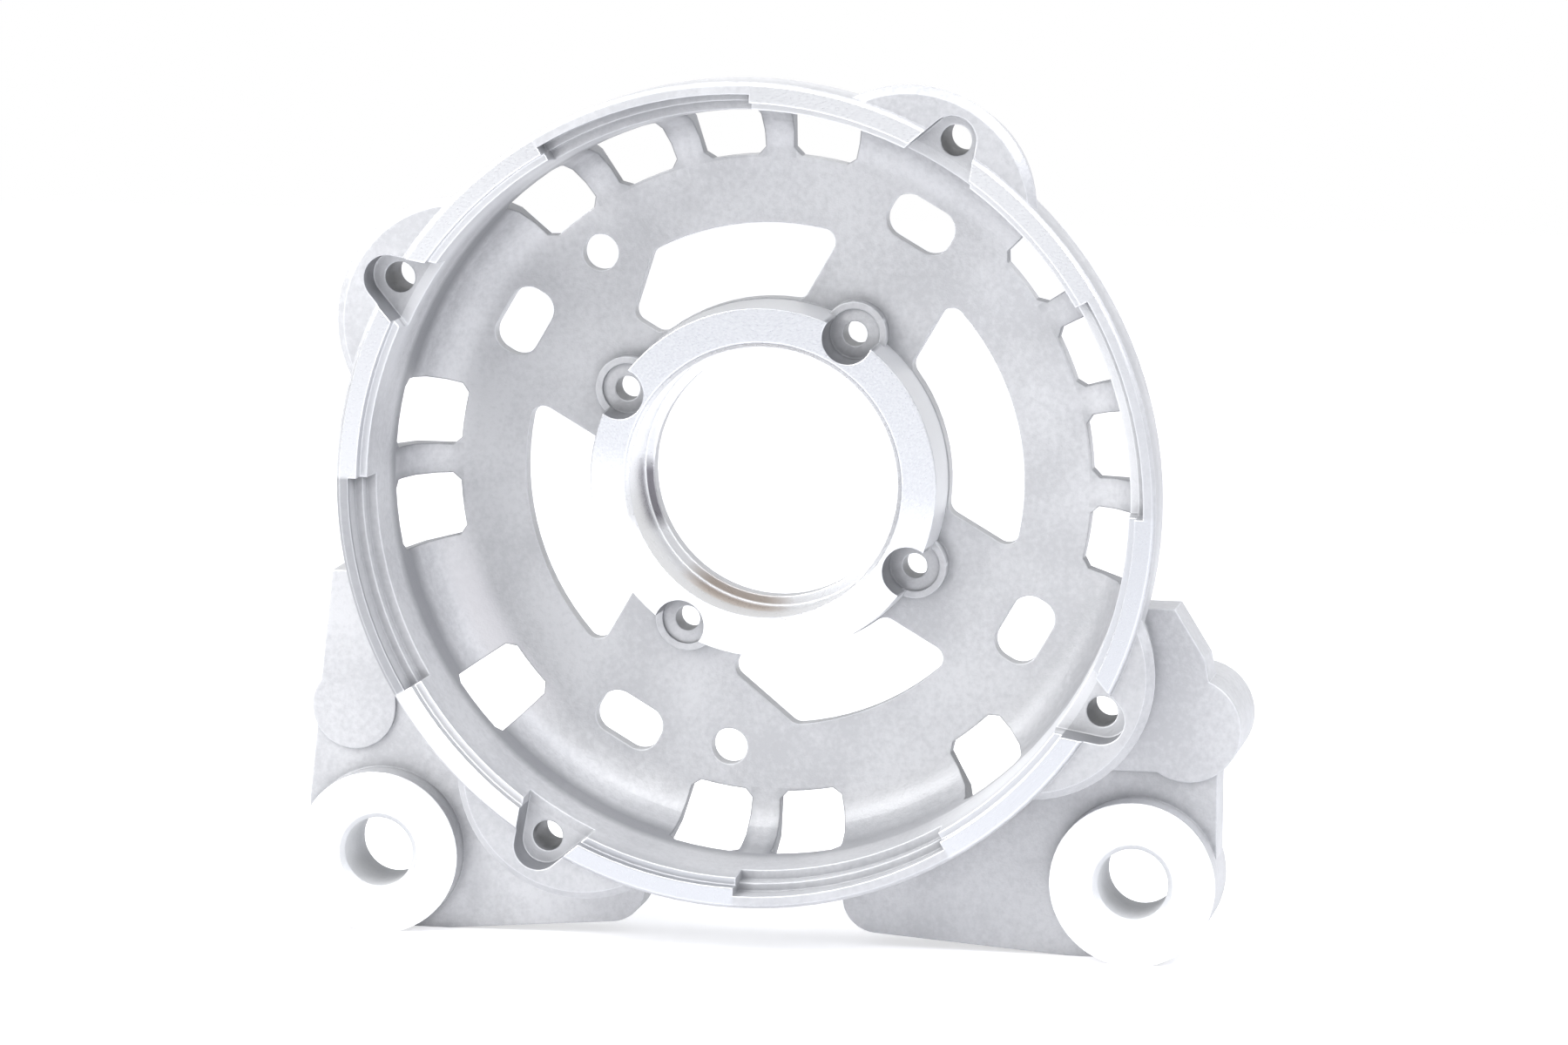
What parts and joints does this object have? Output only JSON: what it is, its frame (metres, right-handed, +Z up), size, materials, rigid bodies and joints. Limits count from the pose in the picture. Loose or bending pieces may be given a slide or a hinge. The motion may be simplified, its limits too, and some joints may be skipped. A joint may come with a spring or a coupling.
{
  "type": "alternator end cover",
  "caption": "Cast alternator end cover with a central bearing seat, vented end wall, through-bolt ears and bored mounting feet.",
  "frame": {"origin": "on the shaft axis, in the plane of the shoulder that the bearing rests on, 41 mm behind the machined land of the open side", "axes": "+Y back along the shaft axis through the end wall, +Z up, away from the feet, +X to the right seen from the open side"},
  "size_m": [0.2165, 0.045, 0.1979],
  "materials": {
    "cast_aluminium": "as cast, matt, with machined faces"
  },
  "bodies": {
    "root": {"alternator_cover": "cast_aluminium"}
  },
  "joints": []
}
